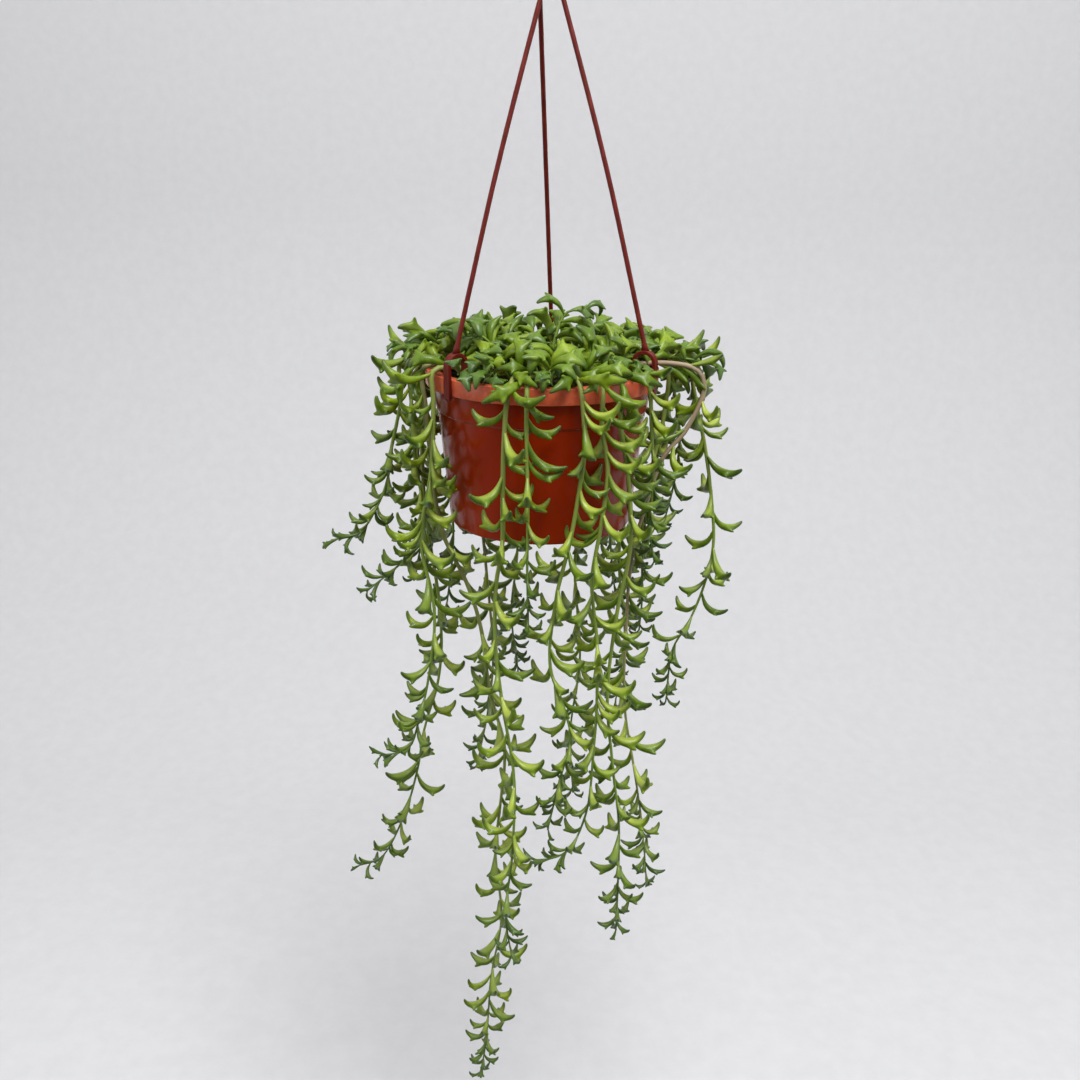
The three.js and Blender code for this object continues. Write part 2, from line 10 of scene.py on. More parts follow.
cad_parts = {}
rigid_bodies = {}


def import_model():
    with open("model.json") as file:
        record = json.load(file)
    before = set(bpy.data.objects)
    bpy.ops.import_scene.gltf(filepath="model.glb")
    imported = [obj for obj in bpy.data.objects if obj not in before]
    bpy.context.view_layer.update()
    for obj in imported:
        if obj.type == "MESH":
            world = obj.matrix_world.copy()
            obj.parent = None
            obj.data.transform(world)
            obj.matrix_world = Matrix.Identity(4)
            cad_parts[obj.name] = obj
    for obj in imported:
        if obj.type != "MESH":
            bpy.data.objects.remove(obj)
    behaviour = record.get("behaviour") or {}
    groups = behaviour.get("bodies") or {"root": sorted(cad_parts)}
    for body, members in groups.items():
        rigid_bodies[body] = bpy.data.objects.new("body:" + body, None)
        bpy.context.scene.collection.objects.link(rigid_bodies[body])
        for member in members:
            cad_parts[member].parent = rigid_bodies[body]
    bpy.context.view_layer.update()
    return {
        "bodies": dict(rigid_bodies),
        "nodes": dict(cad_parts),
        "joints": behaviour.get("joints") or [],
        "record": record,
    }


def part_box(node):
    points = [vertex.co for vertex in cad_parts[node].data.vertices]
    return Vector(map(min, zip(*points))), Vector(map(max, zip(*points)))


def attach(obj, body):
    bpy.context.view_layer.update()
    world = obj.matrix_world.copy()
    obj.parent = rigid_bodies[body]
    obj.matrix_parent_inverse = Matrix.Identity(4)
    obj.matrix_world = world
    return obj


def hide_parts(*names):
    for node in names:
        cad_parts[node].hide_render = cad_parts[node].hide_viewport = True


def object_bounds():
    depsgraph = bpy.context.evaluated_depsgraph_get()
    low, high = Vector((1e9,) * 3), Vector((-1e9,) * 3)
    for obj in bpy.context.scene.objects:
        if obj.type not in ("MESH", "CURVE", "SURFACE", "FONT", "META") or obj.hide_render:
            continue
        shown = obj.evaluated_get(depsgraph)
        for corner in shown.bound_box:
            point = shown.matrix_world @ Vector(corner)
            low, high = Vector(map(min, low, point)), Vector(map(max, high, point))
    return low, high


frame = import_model()

# -------------------- the camera
# It looks slightly down on the pot from in front, close enough for the lower strands to be
# seen from well above. Everything is placed from the rim, the highest point of the pot.
pot_low, pot_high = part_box("pot")
rim_top = pot_high[2]
rim_radius = (pot_high[0] - pot_low[0]) / 2

camera_away = 0.676
camera_rise = 0.129
camera_dip = 19.6
camera_roll = 0.7
view_angle = 51.05

camera_data = bpy.data.cameras.new("camera")
camera_data.sensor_width = 36.0
camera_data.angle = math.radians(view_angle)
camera_data.clip_start = 0.02
camera = bpy.data.objects.new("camera", camera_data)
bpy.context.scene.collection.objects.link(camera)
camera.matrix_world = (
    Matrix.Translation((0.0, -camera_away, rim_top + camera_rise))
    @ Matrix.Rotation(math.radians(90 - camera_dip), 4, "X")
    @ Matrix.Rotation(math.radians(camera_roll), 4, "Z")
)
bpy.context.scene.camera = camera
bpy.context.scene.view_settings.view_transform = "Standard"

# -------------------- the pot
# One injection moulding in terracotta-red polypropylene: a turned-down skirt round the rim, a
# shoulder, a step, a tapered wall and a base raised inside its foot ring.


def linear(hex_colour, alpha=1.0):
    """An sRGB hex colour as linear RGBA."""
    values = [int(hex_colour[i : i + 2], 16) / 255 for i in (0, 2, 4)]
    return (*(v / 12.92 if v <= 0.04045 else ((v + 0.055) / 1.055) ** 2.4 for v in values), alpha)


def add(tree, kind, settings=None, stops=(), **inputs):
    """Adds a node, or sets up the one that is given, with its settings and inputs.

    An input is a value, an output, or a node whose first output in use is linked; _6 is the
    input numbered 6. Stops are a colour ramp's places and hex colours."""
    node = tree.nodes.new("ShaderNode" + kind) if isinstance(kind, str) else kind
    for name, value in (settings or {}).items():
        setattr(node, name, value)
    for name, value in inputs.items():
        socket = node.inputs[int(name[1:]) if name[0] == "_" else name.replace("_", " ")]
        if isinstance(value, bpy.types.Node):
            value = next(output for output in value.outputs if output.enabled)
        if isinstance(value, bpy.types.NodeSocket):
            tree.links.new(value, socket)
        else:
            socket.default_value = value
    if stops:
        elements = node.color_ramp.elements
        while len(elements) < len(stops):
            elements.new(0.5)
        for element, (position, colour) in zip(elements, stops):
            element.position = position
            element.color = linear(colour)
    return node


def new_material(name):
    """A material with its Principled shader and a Texture Coordinate node."""
    material = bpy.data.materials.new(name)
    material.use_nodes = True
    tree = material.node_tree
    shader = tree.nodes["Principled BSDF"]
    place = add(tree, "TexCoord").outputs["Object"]
    return material, tree, shader, place


def mesh_piece(name, points, faces, material):
    """A smooth-shaded mesh object from points in metres."""
    mesh = bpy.data.meshes.new(name)
    mesh.from_pydata([tuple(p) for p in points], [], faces)
    mesh.validate()
    mesh.polygons.foreach_set("use_smooth", [True] * len(mesh.polygons))
    mesh.materials.append(material)
    piece = bpy.data.objects.new(name, mesh)
    bpy.context.scene.collection.objects.link(piece)
    return piece


def fit(piece, slot, *nodes):
    """The piece rides on the root body and stands for its nodes, which it hides. Its slot is not
    used.
    """
    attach(piece, "root")
    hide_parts(*nodes)


def turned(profile, sides):
    """Points and faces of a profile turned about the pot's axis; its ends close on the axis."""
    points = []
    faces = []
    for radius, height in profile:
        count = 1 if radius < 1e-6 else sides
        points.append([])
        for side in range(count):
            angle = 2 * math.pi * side / sides
            points[-1].append((radius * math.sin(angle), -radius * math.cos(angle), height))
    starts = np.cumsum([0] + [len(ring) for ring in points])
    for level in range(len(points) - 1):
        here, there = len(points[level]), len(points[level + 1])
        for side in range(sides):
            corners = [
                starts[level] + side % here,
                starts[level] + (side + 1) % here,
                starts[level + 1] + (side + 1) % there,
                starts[level + 1] + side % there,
            ]
            face = [int(c) for c in dict.fromkeys(corners)]
            if len(face) > 2:
                faces.append(face)
    return [p for ring in points for p in ring], faces


def rounded(profile, size, steps=3):
    """The profile with each inner corner turned into a small arc, no larger than its sides allow."""
    result = [profile[0]]
    for before, corner, after in zip(profile, profile[1:], profile[2:]):
        b, c, a = (np.array(p, float) for p in (before, corner, after))
        reach = min(size, 0.45 * np.linalg.norm(b - c), 0.45 * np.linalg.norm(a - c))
        start = c + (b - c) / np.linalg.norm(b - c) * reach
        stop = c + (a - c) / np.linalg.norm(a - c) * reach
        for step in range(steps + 1):
            t = step / steps
            result.append(tuple((1 - t) ** 2 * start + 2 * t * (1 - t) * c + t * t * stop))
    result.append(profile[-1])
    return result


pot_height = pot_high[2] - pot_low[2]
base_radius = 0.056
skirt_height = 0.0095
shoulder_radius = rim_radius - 0.0036
shoulder_drop = 0.024
step_inset = 0.0011
pot_wall = 0.0015
base_rise = 0.003
pot_taper = (shoulder_radius - step_inset - base_radius) / pot_height
step_radius = shoulder_radius - pot_taper * shoulder_drop
pot_inner_radius = shoulder_radius - pot_wall - step_inset
pot_floor = pot_height - base_rise - pot_wall

# Polypropylene with red-brown pigment: glossy, with a faint orange peel from the mould and a few
# pale specks of dust. The rim and skirt are painted paler, as painted light from above, mottled by
# scuff noise.
pot_plastic, tree, shader, place = new_material("moulded polypropylene")
flow = add(tree, "Mapping", Vector=place, Scale=(28.0, 28.0, 9.0))
streaks = add(tree, "TexNoise", Vector=flow, Scale=1.0, Detail=3.0, Roughness=0.5)
body_colour = add(tree, "ValToRGB", stops=[(0.3, "902403"), (0.7, "A02E05")], Fac=streaks)
height = add(tree, "SeparateXYZ", Vector=place).outputs["Z"]
# Painted light: everything from the skirt's lower edge up is painted paler, as if lit from above.
rim_light_mask = add(tree, "MapRange", Value=height, From_Min=rim_top - skirt_height - 0.0008,
             From_Max=rim_top - skirt_height + 0.0004)
scuffs = add(tree, "TexNoise", Vector=place, Scale=260.0, Detail=4.0, Roughness=0.65)
painted_rim_light = add(tree, "ValToRGB", stops=[(0.3, "BE5032"), (0.6, "CA6040"), (0.8, "D28468")],
                 Fac=scuffs)
mixed = add(tree, "Mix", {"data_type": "RGBA"}, Factor=rim_light_mask, _6=body_colour, _7=painted_rim_light)
specks = add(tree, "TexVoronoi", Vector=place, Scale=140.0, Randomness=1.0)
speck = add(tree, "ValToRGB", stops=[(0.035, "FFFFFF"), (0.06, "000000")], Fac=specks)
patch = add(tree, "TexNoise", Vector=place, Scale=45.0, Detail=1.0)
patchy = add(tree, "ValToRGB", stops=[(0.56, "000000"), (0.62, "FFFFFF")], Fac=patch)
dust = add(tree, "Math", {"operation": "MULTIPLY"}, _0=speck, _1=patchy)
dusty = add(tree, "Mix", {"data_type": "RGBA"}, Factor=dust, _6=mixed, _7=linear("C09080"))
gloss = add(tree, "MapRange", Value=scuffs, From_Min=0.3, From_Max=0.75, To_Min=0.15, To_Max=0.28)
ripple = add(tree, "TexNoise", Vector=flow, Scale=3.0, Detail=1.0)
peel = add(tree, "TexNoise", Vector=place, Scale=700.0, Detail=2.0)
relief = add(tree, "Math", {"operation": "MULTIPLY_ADD"}, _0=ripple, _1=30.0, _2=peel)
bump = add(tree, "Bump", Height=relief, Strength=0.12, Distance=0.0001)
add(tree, shader, Base_Color=dusty, Roughness=gloss, IOR=1.49, Specular_IOR_Level=0.3, Normal=bump)

pot_profile = [
    (0.0, -(pot_height - base_rise)),
    (base_radius - 0.005, -(pot_height - base_rise)),
    (base_radius - 0.004, -pot_height),
    (base_radius - 0.0005, -pot_height),
    (base_radius, -pot_height + 0.0012),
    (step_radius - step_inset, -shoulder_drop - step_inset),
    (step_radius, -shoulder_drop),
    (shoulder_radius, -0.0024),
    (rim_radius - 0.0015, -0.0015),
    (rim_radius - 0.0015, -skirt_height),
    (rim_radius, -skirt_height),
    (rim_radius, 0.0),
    (pot_inner_radius, 0.0),
    (pot_inner_radius - 0.0002, -0.012),
    (base_radius - pot_wall, -pot_floor),
    (0.0, -pot_floor),
]
pot_outline = [(r, z + rim_top) for r, z in rounded(pot_profile, 0.0005)]
pot = mesh_piece("pot_body", *turned(pot_outline, 160), pot_plastic)
fit(pot, "pot_plastic", "pot")

# -------------------- the soil
# Dark peat-based potting mix with crumbs, bark fibres and a few pale grains, level with the
# lower edge of the skirt and a little heaped between the stems.
soil_low, soil_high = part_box("soil")
soil_radius = (soil_high[0] - soil_low[0]) / 2

# Damp peat: nearly black in its hollows, brown and matt on its crumbs.
peat, tree, shader, place = new_material("peat potting mix")
crumbs = add(tree, "TexVoronoi", Vector=place, Scale=420.0, Randomness=1.0)
clods = add(tree, "TexNoise", Vector=place, Scale=150.0, Detail=5.0, Roughness=0.7)
earth = add(tree, "ValToRGB", Fac=clods,
            stops=[(0.3, "140D08"), (0.5, "2C2018"), (0.72, "4A382A"), (0.85, "77614C")])
grit = add(tree, "Math", {"operation": "ADD"}, _0=crumbs, _1=clods)
bump = add(tree, "Bump", Height=grit, Strength=0.9, Distance=0.0012)
add(tree, shader, Base_Color=earth, Roughness=0.93, Normal=bump)


def crumbled(point, size):
    """How high the soil stands at a point: heaps of about that size, with crumbs on them."""
    here = Vector(point) / size
    return noise.fractal(here, 0.8, 2.2, 4)


soil_points = []
soil_faces = []
soil_rings = 34
soil_sides = 110
soil_points.append((0.0, 0.0, soil_high[2]))
for ring in range(1, soil_rings + 1):
    radius = soil_radius * ring / soil_rings
    for side in range(soil_sides):
        angle = 2 * math.pi * side / soil_sides
        x, y = radius * math.sin(angle), -radius * math.cos(angle)
        rise = 0.0016 * crumbled((x, y, 0.0), 0.009) + 0.0008 * crumbled((x, y, 1.0), 0.003)
        soil_points.append((x, y, soil_high[2] + rise))
for side in range(soil_sides):
    after = (side + 1) % soil_sides
    soil_faces.append((0, 1 + side, 1 + after))
    for ring in range(soil_rings - 1):
        a = 1 + ring * soil_sides
        b = a + soil_sides
        soil_faces.append((a + side, b + side, b + after, a + after))
edge = 1 + (soil_rings - 1) * soil_sides
foot = len(soil_points)
foot_radius = base_radius - pot_wall - 0.0003
for side in range(soil_sides):
    angle = 2 * math.pi * side / soil_sides
    soil_points.append((foot_radius * math.sin(angle), -foot_radius * math.cos(angle), soil_low[2]))
for side in range(soil_sides):
    after = (side + 1) % soil_sides
    soil_faces.append((edge + side, foot + side, foot + after, edge + after))
soil_faces.append(tuple(foot + side for side in reversed(range(soil_sides))))
soil = mesh_piece("soil_bed", soil_points, soil_faces, peat)
fit(soil, "potting_soil", "soil")

# -------------------- the hanger
# A hook, a hub, three rods and three rim clips, all one moulding in dark red polypropylene.
# The clips straddle the rim and a toe on each outer leg catches under the skirt.
clip_angles = {"left": -48, "right": 65, "rear": 175}
clearance = 0.0003
strap_thickness = 0.0022
strap_width = 0.005
strap_span = 0.0125
clip_rise = 0.0135
inner_leg_depth = 0.006
barb_reach = 0.0015
barb_height = 0.0022
rod_radius = 0.0014
rod_circle_radius = 0.006
rod_twist = 50
rod_bow = 0.0022
hook_wire = 0.0023
hook_inner = 0.011
hook_shank = 0.027
hub_height = 0.008
hub_radius = 0.009
hub_bottom = -(hook_inner + hook_shank + hub_height)
outer_leg_radius = rim_radius + clearance + strap_thickness / 2
clip_radius = outer_leg_radius - strap_span / 2
clip_top = clip_rise + strap_thickness / 2

# The same polypropylene drawn out thin: a satin skin with fine lengthwise flow marks and the
# pale bloom of plastic that has been bent.
hanger_plastic, tree, shader, place = new_material("drawn polypropylene")
flow = add(tree, "Mapping", Vector=place, Scale=(420.0, 420.0, 60.0))
marks = add(tree, "TexNoise", Vector=flow, Scale=1.0, Detail=4.0, Roughness=0.6)
red = add(tree, "ValToRGB", stops=[(0.3, "50110B"), (0.55, "62180F"), (0.8, "78281D")], Fac=marks)
worn = add(tree, "MapRange", Value=marks, To_Min=0.3, To_Max=0.5)
bump = add(tree, "Bump", Height=marks, Strength=0.4, Distance=0.00015)
add(tree, shader, Base_Color=red, Roughness=worn, IOR=1.49, Specular_IOR_Level=0.25, Normal=bump)


up = np.array([0.0, 0.0, 1.0])
backward = np.array([0.0, 1.0, 0.0])


def around(azimuth, radius, height):
    """A point at an azimuth from the front, a distance from the axis and a height."""
    angle = math.radians(azimuth)
    return np.array([radius * math.sin(angle), -radius * math.cos(angle), height])


def unit(vector):
    return vector / np.linalg.norm(vector)


def square_to(tangent, direction):
    return unit(direction - tangent * np.dot(direction, tangent))


def swept(path, radius_at, sides, first_side, wander=0.0, seed=0.0):
    """Points and faces of a round bar along a path of points, closed at both ends.

    Wander roughens its thickness, by that share, as a hand-grown or cheaply moulded bar is."""
    points = []
    faces = []
    side_now = first_side
    count = len(path)
    for index, centre in enumerate(path):
        tangent = unit(path[min(index + 1, count - 1)] - path[max(index - 1, 0)])
        side_now = square_to(tangent, side_now)
        other = np.cross(tangent, side_now)
        radius = radius_at(index / (count - 1))
        for side in range(sides):
            angle = 2 * math.pi * side / sides
            r = radius
            if wander:
                r *= 1 + wander * noise.noise(Vector((index * 0.35, angle, seed)))
            points.append(centre + side_now * r * math.cos(angle) + other * r * math.sin(angle))
    for index in range(count - 1):
        a, b = index * sides, (index + 1) * sides
        for side in range(sides):
            after = (side + 1) % sides
            faces.append((a + side, a + after, b + after, b + side))
    faces.append(tuple(reversed(range(sides))))
    faces.append(tuple((count - 1) * sides + side for side in range(sides)))
    return points, faces


def joined(*shapes):
    """Several shapes' points and faces as one."""
    points = []
    faces = []
    for more_points, more_faces in shapes:
        start = len(points)
        points.extend(more_points)
        faces.extend(tuple(start + corner for corner in face) for face in more_faces)
    return points, faces


def arc(centre_x, centre_y, radius, start, stop, steps):
    return [
        (centre_x + radius * math.cos(start + (stop - start) * step / steps),
         centre_y + radius * math.sin(start + (stop - start) * step / steps))
        for step in range(steps + 1)
    ]


def strap(azimuth):
    """A clip's strap: its side view, x outward and y up from the rim, given its width."""
    half = strap_thickness / 2
    arch = strap_span / 2
    rise = clip_rise - arch
    toe = -(skirt_height + clearance + barb_height)
    outline = [(arch + half, toe + 0.001), (arch + half, 0.0)]
    outline += arc(0.0, rise, arch + half, 0.0, math.pi, 20)
    outline += [(-arch - half, -inner_leg_depth), (-arch + half, -inner_leg_depth)]
    outline += arc(0.0, rise, arch - half, math.pi, 0.0, 20)
    outline += [
        (arch - half, -(skirt_height + clearance)),
        (arch - half - barb_reach, -(skirt_height + clearance)),
        (arch + half - 0.001, toe),
    ]
    outward = around(azimuth, 1.0, 0.0)
    across = np.array([-outward[1], outward[0], 0.0])
    middle = around(azimuth, clip_radius, rim_top)
    count = len(outline)
    points = []
    for shift in (-strap_width / 2, strap_width / 2):
        points += [middle + outward * x + up * y + across * shift for x, y in outline]
    faces = [tuple(reversed(range(count))), tuple(range(count, 2 * count))]
    for index in range(count):
        after = (index + 1) % count
        faces.append((index, after, count + after, count + index))
    return points, faces


class SmoothPath:
    """A centripetal Catmull-Rom curve through points, measured along its length."""

    def __init__(self, points):
        self.points = [np.array(p, float) for p in points]
        samples = [self.at(step / 200) for step in range(201)]
        steps = [np.linalg.norm(b - a) for a, b in zip(samples, samples[1:])]
        self.travelled = np.concatenate([[0.0], np.cumsum(steps)])
        self.length = float(self.travelled[-1])

    def at(self, t):
        p = self.points
        place = (len(p) - 1) * t
        index = min(int(place), len(p) - 2)
        share = place - index
        p1, p2 = p[index], p[index + 1]
        p0 = p[index - 1] if index > 0 else 2 * p[0] - p[1]
        p3 = p[index + 2] if index + 2 < len(p) else 2 * p[-1] - p[-2]
        d0, d1, d2 = (np.dot(b - a, b - a) ** 0.25 for a, b in ((p0, p1), (p1, p2), (p2, p3)))
        t1 = ((p1 - p0) / d0 - (p2 - p0) / (d0 + d1) + (p2 - p1) / d1) * d1
        t2 = ((p2 - p1) / d1 - (p3 - p1) / (d1 + d2) + (p3 - p2) / d2) * d1
        c2 = -3 * p1 + 3 * p2 - 2 * t1 - t2
        c3 = 2 * p1 - 2 * p2 + t1 + t2
        return p1 + t1 * share + c2 * share**2 + c3 * share**3

    def place(self, share):
        """The curve's own parameter at a share of its length."""
        target = share * self.length
        index = int(np.searchsorted(self.travelled, target, side="right")) - 1
        index = max(0, min(index, 199))
        span = self.travelled[index + 1] - self.travelled[index]
        return (index + (target - self.travelled[index]) / span) / 200

    def point(self, share):
        return self.at(self.place(share))

    def tangent(self, share):
        t = self.place(share)
        return unit(self.at(min(t + 1e-4, 1.0)) - self.at(max(t - 1e-4, 0.0)))


def rod_path(azimuth):
    low = around(azimuth, clip_radius, rim_top + clip_top + clearance)
    high = around(azimuth + rod_twist, rod_circle_radius, hub_bottom - 2.5 * clearance)
    lean = math.hypot(high[0] - low[0], high[1] - low[1]) / np.linalg.norm(high - low)
    low[2] += rod_radius * lean
    middle = (low + high) / 2
    outward = unit(np.array([middle[0], middle[1], 0.0]))
    return SmoothPath([low, middle + outward * rod_bow, high])


def rod_thickness(share):
    """The rod flares where it runs into its clip and into the hub."""
    from_end = min(share, 1 - share)
    return rod_radius * (1 + 0.75 * max(0.0, 1 - from_end / 0.022) ** 2)


for side, azimuth in clip_angles.items():
    path = rod_path(azimuth)
    route = [path.point(step / 90) for step in range(91)]
    route[0] = route[0] - up * (strap_thickness / 2 + 3 * clearance)
    route[-1] = route[-1] + up * 0.002
    rod_shape = swept(route, rod_thickness, 16, backward, 0.05, azimuth)
    rod = mesh_piece(f"rod_{side}", *rod_shape, hanger_plastic)
    fit(rod, "hanger_plastic", f"hanger_rod_{side}")
    clip = mesh_piece(f"clip_{side}", *strap(azimuth), hanger_plastic)
    soften = clip.modifiers.new("soften", "BEVEL")
    soften.width = 0.0005
    soften.segments = 3
    soften.limit_method = "ANGLE"
    clip.modifiers.new("even", "WEIGHTED_NORMAL").keep_sharp = True
    fit(clip, "hanger_plastic", f"rim_clip_{side}")


def hook_route():
    """The hook's middle line, up from the hub, out to one side and round its bend."""
    bend = hook_inner + hook_wire
    middle = -hook_inner
    shank = hook_shank - 0.2 * bend
    route = []
    for step in range(24):
        share = step / 24
        out = bend * share * share * (3 - 2 * share)
        route.append(np.array([out, 0.0, middle - hook_shank + shank * share]))
    for step in range(49):
        angle = -0.2 + 1.32 * math.pi * step / 48
        route.append(np.array([bend * math.cos(angle), 0.0, middle + bend * math.sin(angle)]))
    return route


def hook_thickness(share):
    """Round all along, with a rounded tip."""
    from_tip = (1 - share) * 0.08 / hook_wire
    return hook_wire * (1 if from_tip > 1 else math.sqrt(max(1 - (1 - from_tip) ** 2, 0.01)))


hub_top = hub_bottom + hub_height
hub_profile = rounded([
    (0.0, hub_bottom),
    (hub_radius - 0.001, hub_bottom),
    (hub_radius, hub_bottom + 0.001),
    (hub_radius, hub_top - 0.003),
    (hook_wire + 0.001, hub_top + 0.0015),
    (0.0, hub_top + 0.0015),
], 0.001)
hook_shapes = joined(
    turned(hub_profile, 48),
    swept(hook_route(), hook_thickness, 20, backward),
)
hook = mesh_piece("hook_and_hub", *hook_shapes, hanger_plastic)
fit(hook, "hanger_plastic", "hanger_hook")

# -------------------- how the plants grow
# Every stem is a curve and its leaves follow the plant's own rule: a golden angle from one to
# the next, close and small at the growing tip. A leaf turns aside where others take its room.
# Lengths in this section are in millimetres and heights are from the hook.
MM = 0.001
rim = rim_radius / MM
rim_z = rim_top / MM
soil_drop = (rim_top - soil_high[2]) / MM

# A habit says how a kind of stem grows. Its leaf is the length of a grown leaf. Young leaves
# cover the young stretch at the stem's tip, as that share of the length and spaced as given,
# and the foot is bare. A leaf leaves its stem partly along it and partly away from it, and
# ends partly outward, partly following the stem and with that lift, give or take its sway.
# Breadth and curl shape the drawn leaf. Fillers is the share of gaps with a small leaf too.
trailing_habit = {"leaf": 32, "young_stretch": 120, "young_share": 0.34, "young_spacing": 3.4,
                  "spacing": 12.5, "bare": 6, "along": 0.9, "away": 0.44, "rise": 1, "follow": 0,
                  "lift": 0.85, "sway": 0.45, "breadth": 1.05, "curl": 1.12, "fillers": 0.4}
crown_habit = {"leaf": 34, "young_stretch": 30, "young_share": 0.5, "young_spacing": 4,
               "spacing": 5.5, "bare": 4, "along": 0.62, "away": 0.8, "rise": 0.5, "follow": 0.12,
               "lift": -0.6, "sway": 0.65, "breadth": 1.5, "curl": 1.25, "fillers": 0.7}
stem_radius = 1.3
stem_tip_radius = 0.55
stem_step = 16
strand_foot = 0.66
strand_rise = 0.68
over_rim_inside = 3.7
over_rim_outside = 1.7
crown_layout_radius = 70
crest_rise = 8

# A leaf's half width, first stretch and last stretch are shares of its length, and its fins
# stand at a share of its curve.
leaf_half_width = 0.1
first_stretch = 0.62
last_stretch = 0.46
fin_share = 0.58
leaf_clearance = 0.5
# How much a leaf's number changes its lean away from the stem, and its outward way past the
# fins. Where the stem lies flat, the share of its rise that it keeps, and how far it droops.
lean_varies = 0.4
outward_share = 0.66
flat_rise = 0.2
flat_droop = 0.35
# The least share of its full length that a leaf has, and how much more its number can add.
leaf_vary = (0.88, 0.24)
filler_vary = (0.66, 0.26)
# Each leaf goes round its stem by the golden angle from the one before. Where there is no
# room it turns aside, and is drawn smaller after so many turns.
golden_angle = 137.5
turn_aside = 67
most_turns = 18
turns_before_smaller = 6
smaller_by = 0.18
# Small leaves between the others start this far from the tip and may press this far into a
# neighbour's room.
filler_from = 12
filler_slack = 3.0
filler_turn_aside = 47
filler_most_turns = 8
# Room kept over a clip: how far outside it, how far above it and how wide.
clip_berth = (8, 17, 26)
berth_rise = 12
berth_radius = 11

# Name, azimuth where the strand crosses the rim, how far out it hangs, how far it leans
# forward in 100 mm, and its route: how far across and how far down from the rim.
strands = [
    ("left_upturned", -87, 15, 0, [(0, 20), (-8, 57), (-10, 72), (-18, 91), (-29, 107),
        (-47, 112)]),
    ("left_short", -75, 9, 0, [(0, 29), (1, 56), (5, 85), (4, 105), (-10, 121), (-32, 140)]),
    ("left_front", -57, 5, 0, [(1, 14), (-1, 54), (-8, 99), (-1, 143), (-5, 186), (-13, 222),
        (-20, 240), (-38, 245)]),
    ("left_long", -99, 5, 0, [(0, 20), (0, 90), (9, 171), (7, 214), (-4, 256), (-10, 290),
        (-22, 330), (-38, 360), (-53, 366)]),
    ("left_rear", -113, 8, 0, [(-4, 30), (-8, 70), (-5, 110), (-12, 150)]),
    ("longest", -66, 6, 0, [(2, 20), (4, 45), (10, 95), (25, 130), (33, 158), (39, 205), (48, 243),
        (45, 290), (42, 321), (46, 377), (39, 426), (35, 484), (31, 512)]),
    ("front_long", -13, 6, 0, [(-2, 8), (-4, 61), (-4, 85), (-8, 116), (-8, 154), (-4, 190),
        (3, 240), (2, 296), (-2, 341), (2, 373)]),
    ("front_short", -6, 7, 0, [(0, 21), (1, 61), (1, 103), (2, 141)]),
    ("front_right", 16, 6, 0, [(3, 27), (2, 45), (-4, 87), (-11, 120), (-14, 165), (-6, 190),
        (-1, 212), (-7, 241), (-14, 277)]),
    ("front_curled", 26, 6, 0, [(0, 20), (4, 45), (1, 80), (-3, 112), (1, 151), (2, 190), (1, 223),
        (-3, 270), (-15, 297), (-36, 305)]),
    ("right_straight", 36, 5, 0, [(0, 22), (5, 48), (8, 95), (2, 135), (-2, 190), (3, 240),
        (8, 280), (9, 320), (9, 362)]),
    ("right_tuft", 51, 6, 0, [(4, 30), (6, 60), (5, 85), (9, 108)]),
    ("right_crossing", 75, 24, 0, [(4, 8), (-5, 32), (-18, 50), (-27, 80), (-34, 112), (-36, 160),
        (-35, 215), (-27, 262), (-20, 305), (-15, 351)]),
    ("right_middle", 84, 5, 0, [(-1, 30), (-6, 58), (-10, 112), (-9, 149), (-10, 170)]),
    ("right_outer", 93, 20, 0, [(2, 12), (12, 52), (18, 85), (21, 115), (17, 142), (8, 170),
        (-1, 188), (-4, 228)]),
    ("right_leafy", 104, 11, 0, [(4, 20), (9, 50), (7, 78), (2, 104)]),
    ("rear_right", 124, 7, 0, [(0, 20), (-6, 80), (-10, 140), (-4, 200), (-9, 250)]),
    ("rear_right_short", 141, 6, 0, [(0, 20), (3, 70), (0, 120), (6, 178)]),
    ("rear_middle", 158, 6, 7, [(0, 20), (2, 80), (-4, 150), (1, 220), (-5, 280), (-2, 326)]),
    ("rear_left", -165, 6, 4, [(0, 20), (-2, 80), (4, 140), (0, 190), (5, 236)]),
    ("rear_left_long", -148, 6, 6, [(0, 20), (-3, 80), (3, 150), (8, 220), (4, 262), (-4, 304)]),
    ("rear_left_short", -131, 7, 0, [(0, 20), (-4, 70), (-1, 130), (-8, 192)]),
]

# Crown shoots: the foot's azimuth and distance from the axis; the tip's, and its height above
# the rim.
crown_shoots = [
    ((-20, 6), (-35, 30, 12)), ((20, 8), (66, 28, 34)), ((170, 10), (165, 36, 12)),
    ((-75, 22), (-64, 54, 20)), ((100, 12), (110, 36, 12)), ((-110, 12), (-118, 38, 12)),
    ((12, 24), (8, 56, 5)), ((48, 25), (44, 60, 7)), ((82, 24), (76, 62, 9)),
    ((112, 25), (108, 64, 10)), ((146, 25), (143, 62, 10)), ((180, 24), (-170, 60, 10)),
    ((-148, 25), (-151, 62, 10)), ((-116, 25), (-119, 62, 10)), ((-40, 24), (-36, 58, 6)),
    ((5, 37), (4, 70, 3)), ((-24, 37), (-26, 72, 3)), ((-38, 37), (-39, 74, 5)),
    ((57, 38), (57, 72, 5)), ((79.5, 38), (80, 100, 6)), ((98.5, 38), (98, 92, 5)),
    ((114, 38), (116, 82, 5)), ((132.5, 38), (133, 80, 5)), ((149.5, 38), (149, 80, 4)),
    ((-156.5, 38), (-156, 78, 5)), ((-139.5, 38), (-140, 80, 5)), ((-122, 38), (-122, 80, 5)),
    ((-106, 38), (-105, 84, 5)), ((-93, 38), (-93, 84, 6)),
]


